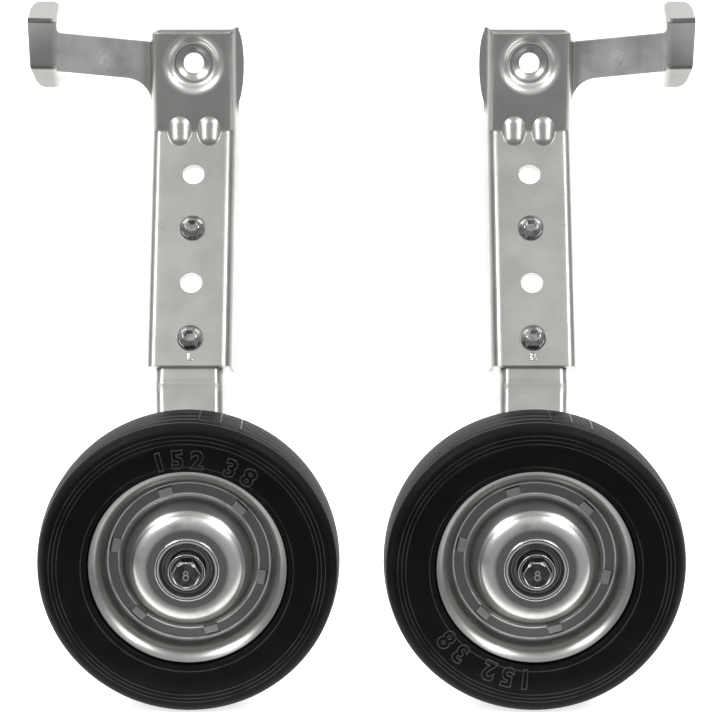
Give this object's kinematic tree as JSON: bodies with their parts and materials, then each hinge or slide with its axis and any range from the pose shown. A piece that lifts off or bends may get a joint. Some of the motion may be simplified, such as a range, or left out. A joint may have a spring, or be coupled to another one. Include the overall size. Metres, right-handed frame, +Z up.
{
  "type": "bicycle training wheels",
  "caption": "Left and right training wheels: flared steel channel brackets with hook arms and stay clips, bolted height legs, and solid rubber tyres on pressed steel discs.",
  "frame": {"origin": "centre of the left unit's axle hole, on the face that bears on the bicycle's frame end", "axes": "+X across the pair from the left unit to the right one, +Y towards the bicycle along the axle, +Z up"},
  "size_m": [0.3486, 0.1473, 0.3461],
  "materials": {
    "plated_sheet": "bright zinc plated, satin",
    "disc_sheet": "bright plated, satin",
    "bright_steel": "polished and plated",
    "dark_plastic": "moulded",
    "tyre": "moulded rubber"
  },
  "bodies": {
    "frame": {"left_bracket": "plated_sheet", "left_leg": "plated_sheet", "left_upper_bolt": "bright_steel", "left_lower_bolt": "bright_steel", "left_upper_washer": "bright_steel", "left_lower_washer": "bright_steel", "left_upper_nut": "bright_steel", "left_lower_nut": "bright_steel", "left_axle_bolt": "bright_steel", "left_outer_axle_washer": "bright_steel", "left_axle_sleeve": "bright_steel", "left_inner_axle_washer": "bright_steel", "left_axle_nut": "bright_steel", "right_bracket": "plated_sheet", "right_leg": "plated_sheet", "right_upper_bolt": "bright_steel", "right_lower_bolt": "bright_steel", "right_upper_washer": "bright_steel", "right_lower_washer": "bright_steel", "right_upper_nut": "bright_steel", "right_lower_nut": "bright_steel", "right_axle_bolt": "bright_steel", "right_outer_axle_washer": "bright_steel", "right_axle_sleeve": "bright_steel", "right_inner_axle_washer": "bright_steel", "right_axle_nut": "bright_steel"},
    "left_wheel": {"left_outer_disc": "disc_sheet", "left_inner_disc": "disc_sheet", "left_hub_tube": "bright_steel", "left_outer_bush": "dark_plastic", "left_inner_bush": "dark_plastic", "left_tyre": "tyre"},
    "right_wheel": {"right_outer_disc": "disc_sheet", "right_inner_disc": "disc_sheet", "right_hub_tube": "bright_steel", "right_outer_bush": "dark_plastic", "right_inner_bush": "dark_plastic", "right_tyre": "tyre"}
  },
  "joints": [
    {"name": "left_wheel_spin", "type": "hinge", "parent": "frame", "child": "left_wheel", "pos_m": [0, -0.096, -0.24], "axis": [0, 1, 0], "continuous": true},
    {"name": "right_wheel_spin", "type": "hinge", "parent": "frame", "child": "right_wheel", "pos_m": [0.174, -0.096, -0.24], "axis": [0, 1, 0], "continuous": true}
  ]
}
